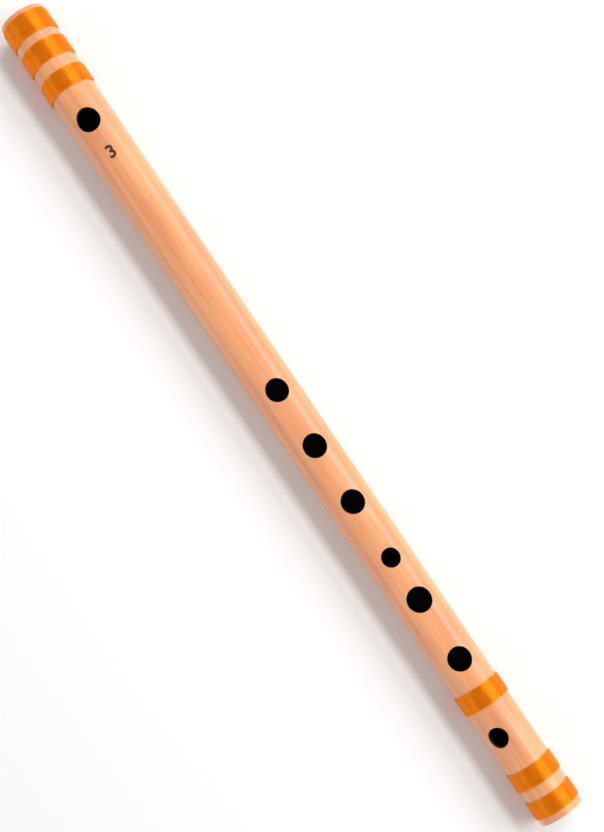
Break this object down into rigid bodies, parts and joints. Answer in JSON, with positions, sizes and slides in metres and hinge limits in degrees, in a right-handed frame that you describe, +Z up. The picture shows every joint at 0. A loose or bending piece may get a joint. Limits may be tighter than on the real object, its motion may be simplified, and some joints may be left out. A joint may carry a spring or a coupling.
{
  "type": "bansuri",
  "caption": "Side-blown bamboo flute with a blowing hole, a line of finger holes, a turned vent hole, orange thread bindings at both ends and a cork stopper that slides in the bore to tune it.",
  "frame": {"origin": "on the surface that the bindings rest on, under the middle of the tube", "axes": "+X along the tube from the blowing end to the foot, +Z up through the line of finger holes"},
  "size_m": [0.394, 0.0214, 0.0214],
  "materials": {
    "bamboo": "satin",
    "cork": "matte",
    "thread": "satin"
  },
  "bodies": {
    "flute": {"bamboo_tube": "bamboo", "head_binding_1": "thread", "head_binding_2": "thread", "head_binding_3": "thread", "foot_binding_1": "thread", "foot_binding_2": "thread", "foot_binding_3": "thread"},
    "stopper": {"cork_stopper": "cork"}
  },
  "joints": [
    {"name": "stopper_slide", "type": "slide", "parent": "flute", "child": "stopper", "axis": [1, 0, 0], "range_m": [-0.004, 0.004]}
  ]
}
